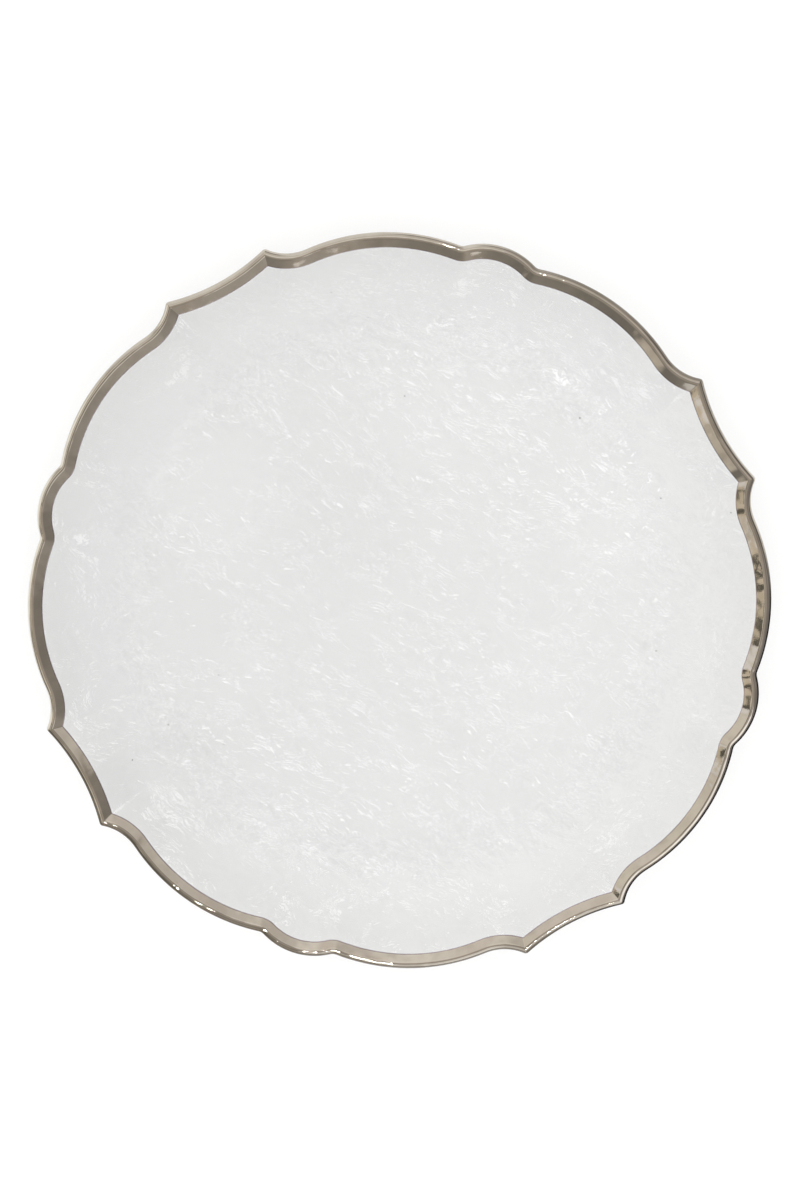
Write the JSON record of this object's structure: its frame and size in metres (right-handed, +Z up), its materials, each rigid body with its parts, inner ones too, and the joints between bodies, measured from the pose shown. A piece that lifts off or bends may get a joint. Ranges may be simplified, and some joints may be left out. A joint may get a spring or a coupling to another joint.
{
  "type": "charger plate",
  "caption": "Wide, shallow glass charger plate with a scalloped edge and a silver band on its rim, laid under a dinner plate.",
  "frame": {"origin": "middle of the flat base, on the surface that the plate stands on", "axes": "+Z up, square to the base; +X through the middle of one pair of points of the scalloped edge, +Y through the middle of the next pair"},
  "size_m": [0.33, 0.33, 0.02],
  "materials": {
    "clear_glass": "clear and glossy, smooth above, with a fine hammered ripple underneath",
    "silver_lustre": "fired silver lustre, mirror bright, warm grey, with fine scratches"
  },
  "bodies": {
    "root": {"glass_plate": "clear_glass", "silver_rim": "silver_lustre"}
  },
  "joints": []
}
